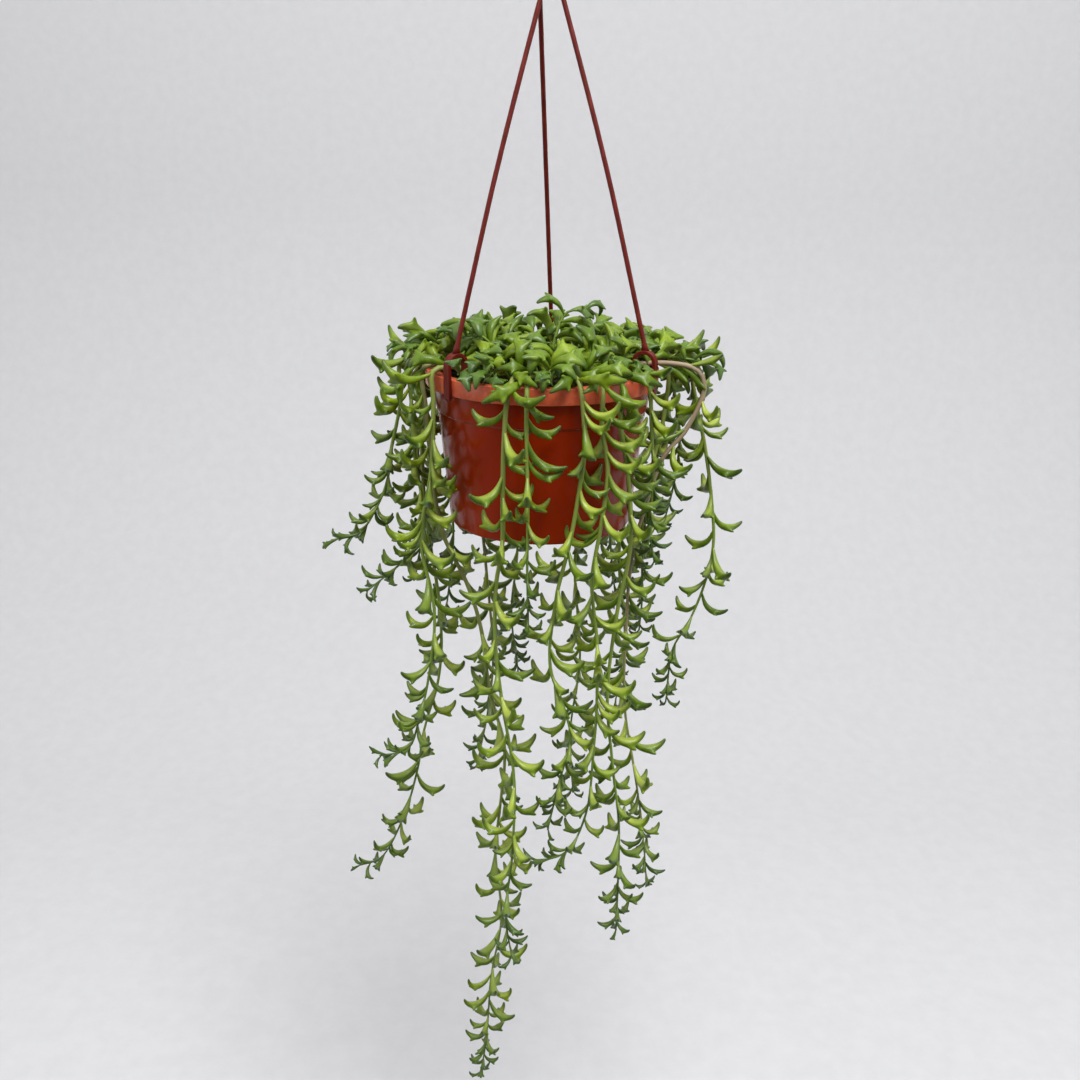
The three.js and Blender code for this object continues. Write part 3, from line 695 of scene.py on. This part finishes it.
def strand_path(azimuth, out, lean, route):
    edge = rim + out
    anchor = around(azimuth, edge, rim_z)
    points = [
        around(azimuth, strand_foot * rim, rim_z - soil_drop + clearance / MM),
        around(azimuth, strand_rise * rim, rim_z - 1),
        around(azimuth, rim - 6, rim_z + stem_radius + over_rim_inside),
        around(azimuth, edge - 1, rim_z + stem_radius + over_rim_outside),
    ]
    for across, drop in route:
        points.append((anchor[0] + across, anchor[1] - lean * drop / 100, rim_z - drop))
    return SmoothPath(points)


def crown_path(foot, tip):
    soil_z = rim_z - soil_drop + clearance / MM
    start = around(foot[0], foot[1] * rim / crown_layout_radius, soil_z)
    end = around(tip[0], tip[1] * rim / crown_layout_radius, rim_z + tip[2])
    rise = start + (end - start) * 0.1
    rise[2] = soil_z + 0.35 * (end[2] - soil_z)
    crest = (start + end) / 2
    crest[2] = max(end[2] - 1, rim_z + crest_rise)
    return SmoothPath([start, rise, crest, end])


growth = [(f"strand_{name}", strand_path(azimuth, out, lean, route), trailing_habit,
           "trailing_growth") for name, azimuth, out, lean, route in strands]
growth += [(f"crown_shoot_{index + 1:02d}", crown_path(foot, tip), crown_habit, "crown_growth")
           for index, (foot, tip) in enumerate(crown_shoots)]


def pot_inner_at(depth):
    return (pot_inner_radius - (pot_inner_radius - base_radius + pot_wall) * depth * MM
            / pot_height) / MM


def pot_outer_at(depth):
    if depth < skirt_height / MM:
        return rim
    if depth < shoulder_drop / MM:
        return shoulder_radius / MM
    return max(step_radius / MM - pot_taper * (depth - shoulder_drop / MM), base_radius / MM)


class Room:
    """The room that stems, leaves and the hanger take, as balls."""

    def __init__(self):
        self.balls = []
        self.owners = []

    def take(self, owner, centre, radius):
        self.balls.append((*centre, radius))
        self.owners.append(owner)

    def others(self, owner):
        mask = np.array([o != owner for o in self.owners])
        return np.array(self.balls)[mask]


def clear_of_pot(ball):
    height = ball[2] - rim_z
    reach = ball[3] + leaf_clearance
    from_axis = math.hypot(ball[0], ball[1])
    if height - reach > 0:
        return True
    if from_axis + reach < pot_inner_at(soil_drop) and height - reach > -soil_drop:
        return True
    if height + reach < -pot_height / MM:
        return True
    return from_axis - reach > pot_outer_at(-(height + reach))


def has_room(balls, others, slack=0.0):
    if not all(clear_of_pot(ball) for ball in balls):
        return False
    mine = np.array(balls)
    apart = ((mine[:, None, :3] - others[None, :, :3]) ** 2).sum(2)
    room = mine[:, None, 3] + others[None, :, 3] + leaf_clearance - slack
    return bool((apart >= np.maximum(room, 0.2) ** 2).all())


def stem_rings(path):
    steps = max(3, round(path.length / stem_step))
    rings = []
    side = backward
    for step in range(steps + 1):
        tangent = up if step == 0 else path.tangent(step / steps)
        side = square_to(tangent, side)
        rings.append((path.point(step / steps), tangent, side))
    return rings


def along_stem(rings, share):
    place = share * (len(rings) - 1)
    index = min(int(place), len(rings) - 2)
    here, after = rings[index], rings[index + 1]
    mix = place - index
    tangent = unit(here[1] + (after[1] - here[1]) * mix)
    return here[0] + (after[0] - here[0]) * mix, tangent, square_to(tangent, here[2])


room = Room()
for azimuth in clip_angles.values():
    path = rod_path(azimuth)
    for step in range(61):
        room.take("hanger", path.point(step / 60) / MM, rod_radius / MM + 1)
    for step in range(13):
        fall = step / 12 * (clip_top + skirt_height + barb_height)
        height = (rim_top + clip_top - fall) / MM
        room.take("hanger", around(azimuth, outer_leg_radius / MM, height), strap_width / MM * 0.7)
        # The plant is lifted aside where a clip is slid on, so no leaf lies close over one.
        for off in clip_berth:
            room.take("hanger", around(azimuth, outer_leg_radius / MM + off, height), berth_radius)
        room.take("hanger", around(azimuth, clip_radius / MM, height + berth_rise), berth_radius)
        inner = (clip_radius - strap_span / 2) / MM
        room.take("hanger", around(azimuth, inner, height), strap_width / MM * 0.7)
for name, path, habit, slot in growth:
    count = round(path.length / 4)
    rings = stem_rings(path)
    for step in range(count + 1):
        room.take(name, along_stem(rings, step / count)[0], stem_radius)


def scatter(seed):
    """An even spread of numbers from 0 to 1, the same on every run."""
    value = math.sin(seed * 12.9898) * 43758.5453
    return value - math.floor(value)


# Share of a leaf's curve, and the room it takes there as a share of its half width.
leaf_room = [(0.3, 0.75), (0.45, 0.75), (0.6, 1.15), (0.75, 1.15), (0.9, 0.55), (1.0, 0.55)]


class Leaf:
    """A leaf leaves its stem at a low angle and bends at its fins into a blunt beak."""

    def __init__(self, root, tangent, outward, length, habit, number):
        self.root = root
        self.length = length
        sway = 2 * number - 1
        away = habit["away"] * (1 + lean_varies * sway)
        self.leave = unit(habit["along"] * tangent + away * outward)
        # Leaves turn up where their stem hangs, and arch over where it lies on the rim.
        hanging = max(0.0, -tangent[2])
        rise = habit["rise"] * (flat_rise + (1 - flat_rise) * hanging)
        out = outward_share * outward * np.array([1.0, 1.0, rise])
        lift = habit["lift"] + habit["sway"] * sway
        if lift > 0:
            lift = lift * hanging - flat_droop * (1 - hanging)
        self.end = unit(out + habit["follow"] * tangent + lift * up)
        self.bend = root + self.leave * first_stretch * length
        self.tip = self.bend + self.end * last_stretch * length
        rest = 1 - fin_share
        self.fins = (rest * rest * root + 2 * rest * fin_share * self.bend
                     + fin_share * fin_share * self.tip)

    def balls(self):
        """The room that the leaf takes, from its root to its fins and on to its tip."""
        full = leaf_half_width * self.length
        balls = []
        for share, size in leaf_room:
            if share < fin_share:
                centre = self.root + (self.fins - self.root) * share / fin_share
            else:
                centre = self.fins + (self.tip - self.fins) * (share - fin_share) / (1 - fin_share)
            balls.append((*centre, full * size))
        return balls


def varied(vary, number):
    """A share from its least up to its least plus its span, by a number from 0 to 1."""
    least, span = vary
    return least + span * number


def leaf_places(length, habit):
    """How far from the tip each leaf stands, closer together on the young stretch."""
    places = []
    from_tip = 1.5
    while from_tip < length - habit["bare"]:
        places.append(from_tip)
        grown = min(from_tip / habit["young_stretch"], 1)
        from_tip += habit["young_spacing"] + (habit["spacing"] - habit["young_spacing"]) * grown
    return places


def leaf_foot(path, rings, from_tip, habit):
    """A leaf's place as drawn and on the rings, the stem's frame, how grown it is, its length."""
    share = 1 - from_tip / path.length
    centre, tangent, side = along_stem(rings, share)
    grown = min(from_tip / habit["young_stretch"], 1)
    size = habit["young_share"] + (1 - habit["young_share"]) * math.sqrt(grown)
    frame = (tangent, side, np.cross(tangent, side))
    return path.point(share), centre, frame, grown, habit["leaf"] * size


def grow_leaves(name, path, habit, seed):
    """The stem's leaves, with how grown each is and a number of its own."""
    rings = stem_rings(path)
    others = room.others(name)
    leaves = []
    for count, from_tip in enumerate(leaf_places(path.length, habit)):
        foot, centre, (tangent, side, other), grown, full = leaf_foot(path, rings, from_tip, habit)
        vary = varied(leaf_vary, scatter(seed * 100 + count))
        number = scatter(seed * 71 + count * 3)
        start = seed * 47 + count * golden_angle
        for attempt in range(most_turns):
            angle = math.radians(start + attempt * turn_aside)
            shrink = 1 - smaller_by * (attempt // turns_before_smaller)
            outward = math.cos(angle) * side + math.sin(angle) * other
            length = full * vary * shrink
            balls = Leaf(centre, tangent, outward, length, habit, number).balls()
            if has_room(balls, others):
                for ball in balls:
                    room.take(name, ball[:3], ball[3])
                leaf = Leaf(foot, tangent, outward, length, habit, number)
                leaves.append((leaf, grown, scatter(seed * 31 + count * 7)))
                break
    return leaves


def fill_leaves(name, path, habit, seed):
    """Smaller leaves between the others, where they may touch a neighbour as real ones do."""
    rings = stem_rings(path)
    others = room.others(name)
    places = leaf_places(path.length, habit)
    leaves = []
    for count, (near, far) in enumerate(zip(places, places[1:])):
        from_tip = (near + far) / 2
        if from_tip < filler_from or scatter(seed * 19 + count * 5) > habit["fillers"]:
            continue
        foot, _, (tangent, side, other), grown, full = leaf_foot(path, rings, from_tip, habit)
        number = scatter(seed * 53 + count * 11)
        start = seed * 83 + count * golden_angle
        for attempt in range(filler_most_turns):
            angle = math.radians(start + attempt * filler_turn_aside)
            outward = math.cos(angle) * side + math.sin(angle) * other
            length = full * varied(filler_vary, number)
            leaf = Leaf(foot, tangent, outward, length, habit, number)
            if has_room(leaf.balls(), others, slack=filler_slack):
                leaves.append((leaf, grown, number))
                break
    return leaves


# -------------------- a dolphin-shaped leaf
# A thick succulent leaf: a narrow stalk, a body flat above and rounded below, two small fins
# at the bend and a blunt beak. One shape serves every leaf and is bent to each one.
# Share of the length, half width as a share of the length.
leaf_sections = [(0.0, 0.030), (0.12, 0.040), (0.27, 0.068), (0.42, 0.095), (0.56, 0.108),
                 (0.69, 0.106), (0.80, 0.080), (0.90, 0.058), (0.97, 0.040), (1.0, 0.018)]
# Across and under, as shares of the half width: nearly flat above, rounded below.
leaf_ring = [(0.9, 0.0), (0.5, 0.95), (-0.5, 0.95), (-0.9, 0.0), (-0.45, -0.55), (0.45, -0.55)]
fin_section = 4
fin_sides = {0: 1, 2: -1}
# Each fin is drawn out of one face in steps: how far along, across and under, and its size.
fin_steps = [(0.03, 0.04, 0.02, 0.65), (0.06, 0.075, 0.035, 0.36)]
# A leaf is straight for this share of its length, and is drawn this much shorter than its room.
straight_share = 0.22
drawn_share = 0.94


def leaf_template():
    """Points as (share along, across, under) in leaf lengths, and the faces over them."""
    points = []
    faces = []
    sides = len(leaf_ring)
    for share, half in leaf_sections:
        points += [(share, across * half, under * half) for across, under in leaf_ring]
    for section in range(len(leaf_sections) - 1):
        for side in range(sides):
            a, b = section * sides, (section + 1) * sides
            after = (side + 1) % sides
            face = (a + side, a + after, b + after, b + side)
            if section != fin_section or side not in fin_sides:
                faces.append(face)
                continue
            corners = [np.array(points[c]) for c in face]
            middle = sum(corners) / 4
            way = fin_sides[side]
            ring = list(face)
            for along, across, under, size in fin_steps:
                shift = np.array([along, way * across, under])
                start = len(points)
                points += [tuple(middle + (c - middle) * size + shift) for c in corners]
                new = [start + k for k in range(4)]
                for k in range(4):
                    faces.append((ring[k], ring[(k + 1) % 4], new[(k + 1) % 4], new[k]))
                ring = new
            faces.append(tuple(ring))
    faces.append(tuple(reversed(range(sides))))
    last = (len(leaf_sections) - 1) * sides
    faces.append(tuple(last + side for side in range(sides)))
    return np.array(points), faces


leaf_points, leaf_faces = leaf_template()


def bent_leaf(leaf, breadth, curl, drawn, roll):
    """The template's points bent along one leaf and rolled a little, in millimetres.

    A leaf runs straight out of its stem and then curls, the more so the larger the curl. It
    is drawn as long as this share of the room it takes."""
    toward = unit(leaf.end - leaf.leave * np.dot(leaf.end, leaf.leave))
    turn = curl * math.acos(min(max(np.dot(leaf.end, leaf.leave), -1.0), 1.0))
    across = unit(np.cross(leaf.leave, toward))
    size = leaf.length * drawn
    straight = straight_share * size
    radius = (size - straight) / turn
    placed = np.empty_like(leaf_points)
    for index, (share, side, under) in enumerate(leaf_points):
        angle = max(share - straight_share, 0.0) / (1 - straight_share) * turn
        run = min(share * size, straight) + radius * math.sin(angle)
        centre = leaf.root + leaf.leave * run + toward * radius * (1 - math.cos(angle))
        heading = leaf.leave * math.cos(angle) + toward * math.sin(angle)
        below = -unit(np.cross(across, heading))
        turned_across = across * math.cos(roll) + below * math.sin(roll)
        turned_below = below * math.cos(roll) - across * math.sin(roll)
        placed[index] = centre + (turned_across * side * breadth
                                  + turned_below * under) * leaf.length
    return placed


# Waxy succulent flesh: yellow-green with a pale grey bloom, darker and bluer towards the beak
# and fins and on young leaves. The upper side is painted paler, as painted light from above, and the
# underside stays darker, as painted shade.
def succulent(name, base, light, upper_side_light, tip, young):
    material, tree, shader, place = new_material(name)
    facts = add(tree, "Attribute", {"attribute_name": "growth"})
    along, grown, own = add(tree, "SeparateColor", Color=facts).outputs
    above = facts.outputs["Alpha"]
    mottle = add(tree, "TexNoise", Vector=place, Scale=190.0, Detail=4.0, Roughness=0.6)
    body = add(tree, "ValToRGB", stops=[(0.3, base), (0.7, light)], Fac=mottle)
    # Painted light and shade: the leaf's upper side is mixed towards the pale fourth colour, and the
    # underside keeps the darker body.
    painted_top_light = add(tree, "MapRange", Value=above, From_Min=0.2, To_Max=0.7)
    lit = add(tree, "Mix", {"data_type": "RGBA"}, Factor=painted_top_light, _6=body, _7=linear(upper_side_light))
    vary = add(tree, "MapRange", Value=own, To_Min=0.62, To_Max=1.2)
    tint = add(tree, "MapRange", Value=own, To_Min=0.515, To_Max=0.49)
    toned = add(tree, "HueSaturation", Hue=tint, Value=vary, Color=lit)
    age = add(tree, "MapRange", Value=grown, From_Max=0.75, To_Min=0.85, To_Max=0.0)
    aged = add(tree, "Mix", {"data_type": "RGBA"}, Factor=age, _6=toned, _7=linear(young))
    beak = add(tree, "MapRange", Value=along, From_Min=0.75, To_Max=0.7)
    tipped = add(tree, "Mix", {"data_type": "RGBA"}, Factor=beak, _6=aged, _7=linear(tip))
    wax = add(tree, "MapRange", Value=mottle, From_Min=0.3, From_Max=0.7, To_Min=0.28, To_Max=0.44)
    skin = add(tree, "TexNoise", Vector=place, Scale=900.0, Detail=2.0)
    bump = add(tree, "Bump", Height=skin, Strength=0.25, Distance=0.0002)
    add(tree, shader, Base_Color=tipped, Roughness=wax, IOR=1.42, Subsurface_Weight=0.12,
        Subsurface_Scale=0.002, Subsurface_Radius=(0.6, 1.0, 0.25), Normal=bump)
    return material


# The fourth colour of each is the painted light on the leaves' upper sides.
trailing_leaf = succulent("succulent leaf, trailing", "4C660C", "738C12", "A0AF4C", "253C18",
                          "34501E")
crown_leaf = succulent("succulent leaf, crown", "577012", "7F9722", "AAB85A", "2C4820", "3E5C28")

# Green herbaceous stem, turning olive and then pinkish brown where it is old and corky.
stem_flesh, tree, shader, place = new_material("succulent stem")
facts = add(tree, "Attribute", {"attribute_name": "growth"})
along, _, corky = add(tree, "SeparateColor", Color=facts).outputs
grain = add(tree, "Mapping", Vector=place, Scale=(900.0, 900.0, 130.0))
fibre = add(tree, "TexNoise", Vector=grain, Scale=1.0, Detail=4.0, Roughness=0.6)
aged = add(tree, "Math", {"operation": "MULTIPLY_ADD"}, _0=fibre, _1=0.3, _2=along)
green = add(tree, "ValToRGB", Fac=aged,
            stops=[(0.1, "868A4C"), (0.4, "7E8E3C"), (0.85, "7A943A"), (1.15, "56722F")])
bark = add(tree, "ValToRGB", Fac=aged,
           stops=[(0.1, "9A8672"), (0.6, "9A8A6A"), (1.0, "86904C")])
colour = add(tree, "Mix", {"data_type": "RGBA"}, Factor=corky, _6=green, _7=bark)
bump = add(tree, "Bump", Height=fibre, Strength=0.5, Distance=0.0002)
add(tree, shader, Base_Color=colour, Roughness=0.5, IOR=1.42, Normal=bump)


def write_growth(piece, colours):
    """Notes on each point: share along, how grown, a number of its own, and if it lies above."""
    layer = piece.data.attributes.new("growth", "FLOAT_COLOR", "POINT")
    layer.data.foreach_set("color", np.array(colours, np.float32).ravel())


# -------------------- the strands and the crown
# Each stem and its leaves grew as one; here they are two pieces, because bark and leaf are
# different stuff. Leaves root just inside the stem.
stems_leaves = [grow_leaves(name, path, habit, index + 1)
                for index, (name, path, habit, slot) in enumerate(growth)]
for index, (name, path, habit, slot) in enumerate(growth):
    stems_leaves[index] += fill_leaves(name, path, habit, index + 1)

# How corky the old stems are, and how much thicker a strand's stem is where it leaves the soil.
old_stems = {"strand_right_crossing": 1.0, "strand_longest": 0.3, "strand_rear_left_long": 0.8}
strand_swell = 1.25
stem_sides = 8
stem_wander = 0.16
# How much a leaf's curl and its drawn length vary, and how far it may roll, in radians.
curl_vary = (0.78, 0.44)
drawn_vary = (0.86, 0.2)
most_roll = 0.9
for index, (name, path, habit, slot) in enumerate(growth):
    steps = max(8, round(path.length / 4))
    route = [path.point(step / steps) * MM for step in range(steps + 1)]
    route[0] = route[0] - up * 0.002
    foot_radius = stem_radius * (strand_swell if slot == "trailing_growth" else 1.0)

    def stem_thickness(share):
        return (foot_radius + (stem_tip_radius - foot_radius) * share) * MM

    points, faces = swept(route, stem_thickness, stem_sides, backward, stem_wander, index)
    stem = mesh_piece(f"{name}_stem", points, faces, stem_flesh)
    corky = old_stems.get(name, 0.0)
    write_growth(stem, [(k // stem_sides / steps, 1.0, corky, 1.0) for k in range(len(points))])
    fit(stem, slot, name)

    points = []
    faces = []
    notes = []
    for leaf, grown, own in stems_leaves[index]:
        start = len(points)
        curl = habit["curl"] * varied(curl_vary, own)
        drawn = drawn_share * varied(drawn_vary, 7 * own % 1)
        roll = (own - 0.5) * most_roll
        points.extend(bent_leaf(leaf, habit["breadth"], curl, drawn, roll) * MM)
        faces.extend(tuple(start + corner for corner in face) for face in leaf_faces)
        notes.extend((min(max(share, 0.0), 1.0), grown, own, 1.0 if under < 0 else 0.0)
                     for share, side, under in leaf_points)
    foliage = mesh_piece(f"{name}_leaves", points, faces,
                         crown_leaf if slot == "crown_growth" else trailing_leaf)
    write_growth(foliage, notes)
    flesh = foliage.modifiers.new("flesh", "SUBSURF")
    flesh.levels = 1
    flesh.render_levels = 1
    fit(foliage, slot, name)

# -------------------- floor, backdrop and light
# A pale seamless sweep well behind and below the plant, and soft studio light from all round.
low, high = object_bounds()
floor_z = low[2] - 0.25
floor_front = -0.1
wall_y = 1.5
sweep_radius = 0.8
sweep = [(floor_front, floor_z)]
for step in range(25):
    angle = math.pi / 2 * step / 24
    sweep.append((wall_y - sweep_radius + sweep_radius * math.sin(angle),
                  floor_z + sweep_radius * (1 - math.cos(angle))))
sweep.append((wall_y, floor_z + 4.0))
half_width = 4.0
points = [(x, y, z) for y, z in sweep for x in (-half_width, half_width)]
faces = [(2 * k, 2 * k + 1, 2 * k + 3, 2 * k + 2) for k in range(len(sweep) - 1)]
paper, tree, shader, place = new_material("backdrop paper")
grain = add(tree, "TexNoise", Vector=place, Scale=60.0, Detail=3.0)
# Painted light: the paper is darker near the floor and paler higher up, as if lit from above.
foot = add(tree, "ValToRGB", stops=[(0.3, "C9C9CB"), (0.7, "CDCDCF")], Fac=grain)
paper_lit_top = add(tree, "ValToRGB", stops=[(0.3, "D8D8DA"), (0.7, "DCDCDE")], Fac=grain)
height = add(tree, "SeparateXYZ", Vector=place).outputs["Z"]
painted_light_by_height = add(tree, "MapRange", Value=height, From_Min=-0.9, From_Max=0.1)
tone = add(tree, "Mix", {"data_type": "RGBA"}, Factor=painted_light_by_height, _6=foot, _7=paper_lit_top)
add(tree, shader, Base_Color=tone, Roughness=0.95)
backdrop = mesh_piece("backdrop", points, faces, paper)


def softbox(name, place, target, width, height, power):
    """A rectangular soft light at a place, facing a target."""
    light = bpy.data.lights.new(name, "AREA")
    light.shape = "RECTANGLE"
    light.size = width
    light.size_y = height
    light.energy = power
    lamp = bpy.data.objects.new(name, light)
    bpy.context.scene.collection.objects.link(lamp)
    lamp.location = place
    lamp.rotation_euler = (Vector(target) - Vector(place)).to_track_quat("-Z", "Y").to_euler()


pot_middle = (0.0, 0.0, rim_top - 0.05)
softbox("softbox_top", (0.3, -0.9, rim_top + 1.6), pot_middle, 0.9, 0.9, 40.0)
softbox("softbox_left", (-1.7, -0.7, rim_top + 0.3), pot_middle, 0.7, 1.6, 5.0)
softbox("softbox_right", (1.7, -0.4, rim_top + 0.3), pot_middle, 0.7, 1.6, 4.0)

# The room: bright above and behind, dim below and on the camera's side.
world = bpy.data.worlds.new("studio")
bpy.context.scene.world = world
world.use_nodes = True
tree = world.node_tree
way = add(tree, "SeparateXYZ", Vector=add(tree, "TexCoord"))
overhead = add(tree, "MapRange", Value=way.outputs["Z"], From_Min=-0.35, From_Max=0.55,
               To_Min=0.06, To_Max=0.8)
behind = add(tree, "MapRange", Value=way.outputs["Y"], From_Min=-0.9, From_Max=0.2, To_Max=0.3)
glow = add(tree, "Math", {"operation": "ADD"}, _0=overhead, _1=behind)
# Past the edges of the sweep the room looks as pale as the paper.
seen = add(tree, "Mix", Factor=add(tree, "LightPath"), _2=glow, _3=0.78)
add(tree, tree.nodes["Background"], Color=linear("F5F5F6"), Strength=seen)
